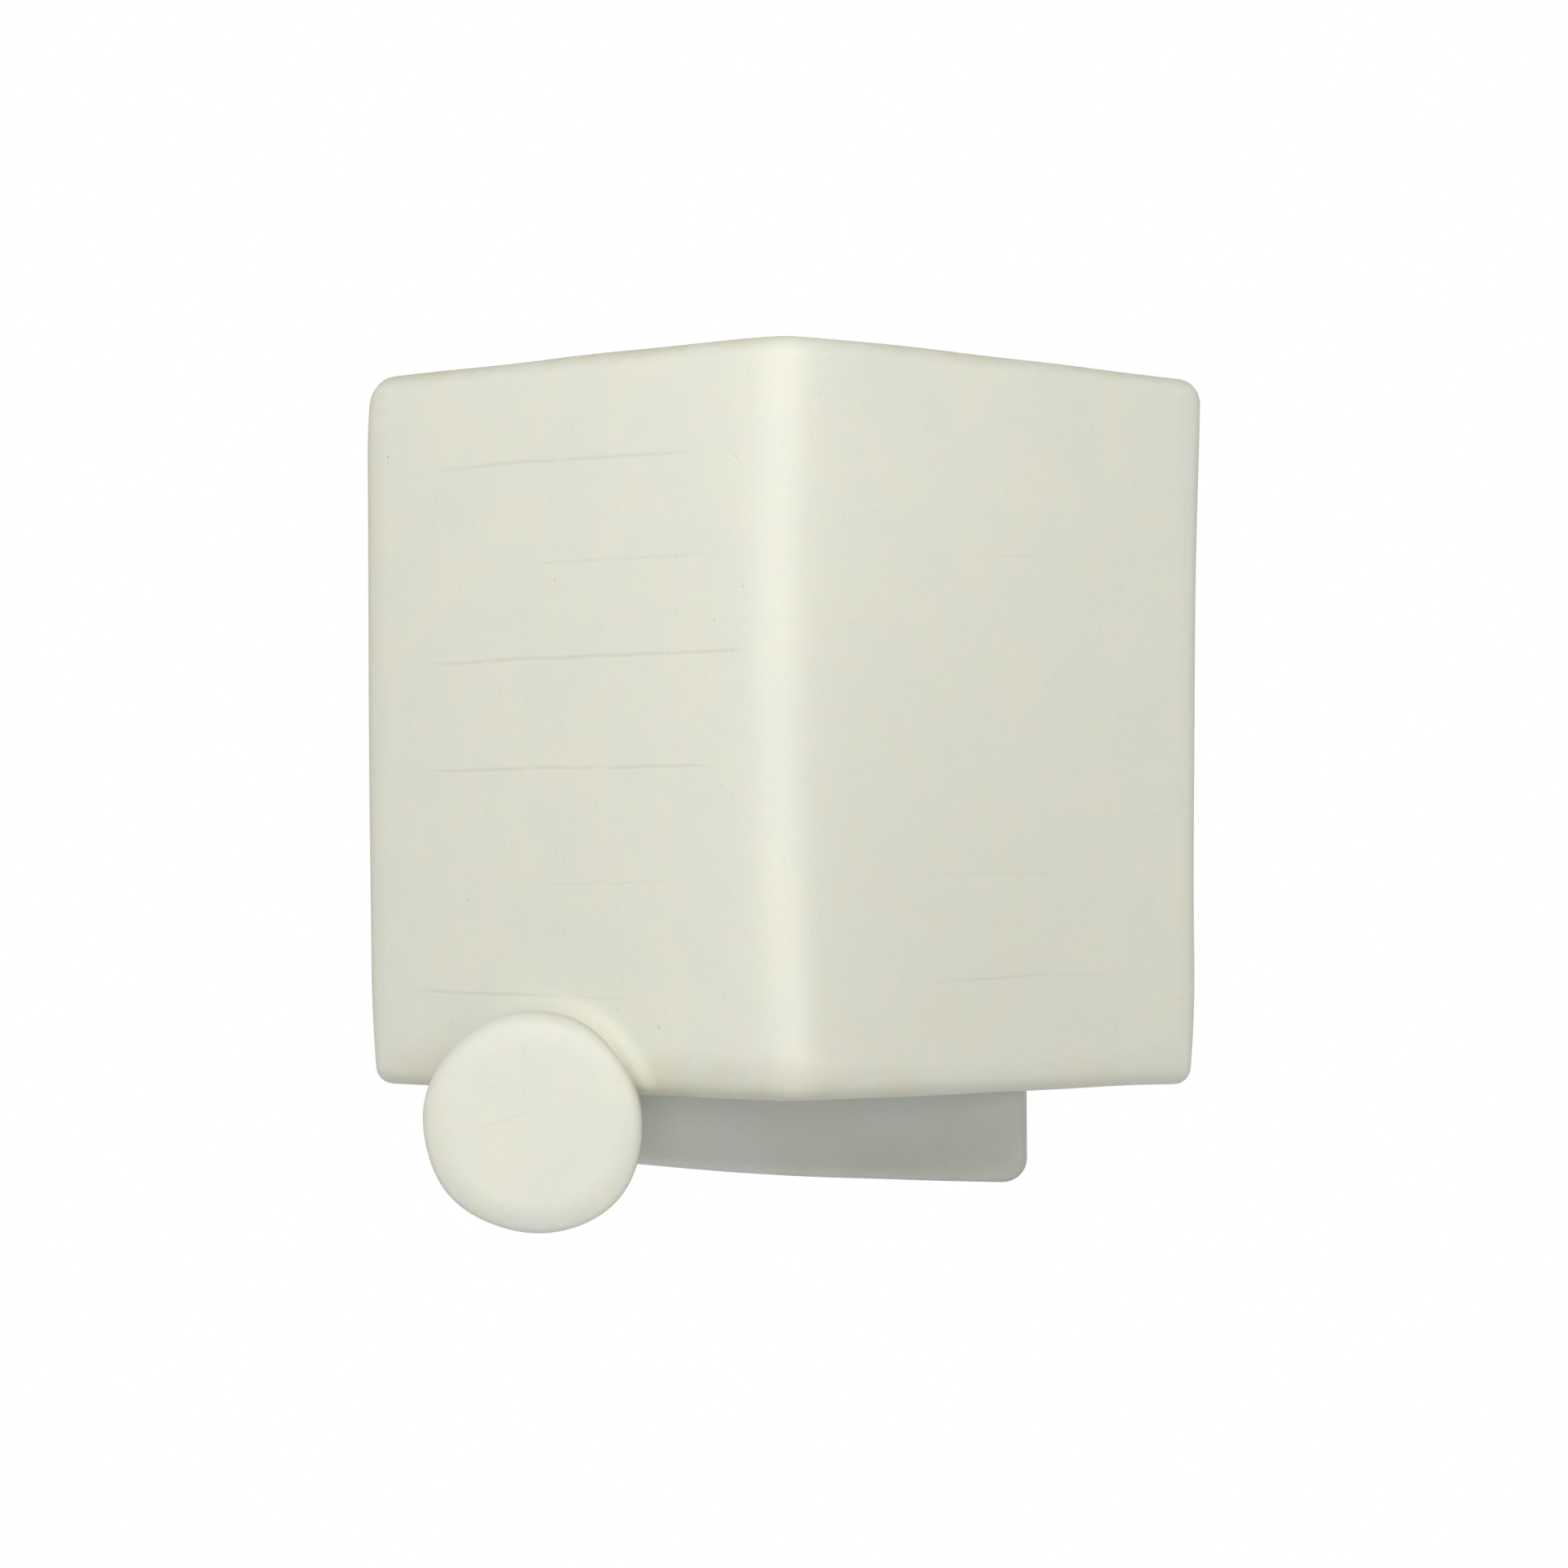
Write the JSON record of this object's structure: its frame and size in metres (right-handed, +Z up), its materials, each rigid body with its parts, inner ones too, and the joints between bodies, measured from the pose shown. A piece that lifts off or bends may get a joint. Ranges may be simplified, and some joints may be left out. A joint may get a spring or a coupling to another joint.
{
  "type": "ceramic wall light",
  "caption": "Hand-built ceramic wall light: a folded slab shade on a flat wall plate, a small upright lamp behind it, and a clay disc on a collar that turns the dimmer.",
  "frame": {"origin": "centre of the mounting bar's rear face, which is the middle of the wall plate on the wall", "axes": "+Z up, +Y into the wall, so the light stands out towards -Y; +X to the viewer's right"},
  "size_m": [0.2002, 0.0805, 0.2],
  "materials": {
    "clay": "matte",
    "steel": "satin",
    "brass": "satin",
    "fibre": "matte",
    "black_plastic": "satin",
    "rubber": "matte",
    "white_plastic": "satin",
    "porcelain": "gloss",
    "bulb_metal": "satin",
    "clear_glass": "gloss",
    "filament": "matte",
    "brown_lead": "satin",
    "grey_lead": "satin",
    "blue_lead": "satin",
    "green_lead": "satin"
  },
  "bodies": {
    "light": {"shade": "clay", "wall_plate": "clay", "mounting_bar": "steel", "stud_left": "steel", "stud_right": "steel", "lock_nut_left": "steel", "lock_nut_right": "steel", "washer_left": "fibre", "washer_right": "fibre", "cap_nut_left": "brass", "cap_nut_right": "brass", "earth_screw": "brass", "earth_lug": "brass", "earth_lead": "green_lead", "terminal_block": "white_plastic", "block_screw_left": "steel", "block_screw_right": "steel", "plate_grommet_lamp": "rubber", "plate_grommet_dimmer": "rubber", "dimmer_lead_in": "brown_lead", "dimmer_lead_out": "grey_lead", "lamp_lead_live": "grey_lead", "lamp_lead_neutral": "blue_lead", "lamp_bracket": "steel", "bracket_screw_left": "steel", "bracket_screw_right": "steel", "bracket_nut_left": "steel", "bracket_nut_right": "steel", "nipple": "brass", "nipple_nut": "brass", "holder_cap": "black_plastic", "holder_base": "porcelain", "holder_skirt": "black_plastic", "bulb_contact": "brass", "bulb_shell": "bulb_metal", "bulb_glass": "clear_glass", "bulb_stem": "clear_glass", "bulb_filament": "filament", "dimmer_body": "black_plastic", "dimmer_bushing": "brass", "dimmer_washer": "steel", "dimmer_nut": "brass", "drum_cap": "white_plastic"},
    "knob": {"knob": "clay", "knob_hub": "brass", "dimmer_spindle": "steel"}
  },
  "joints": [
    {"name": "knob_turn", "type": "hinge", "parent": "light", "child": "knob", "pos_m": [-0.0564, -0.0614, -0.0599], "axis": [0, 1, 0], "range_deg": [0, 280]}
  ]
}
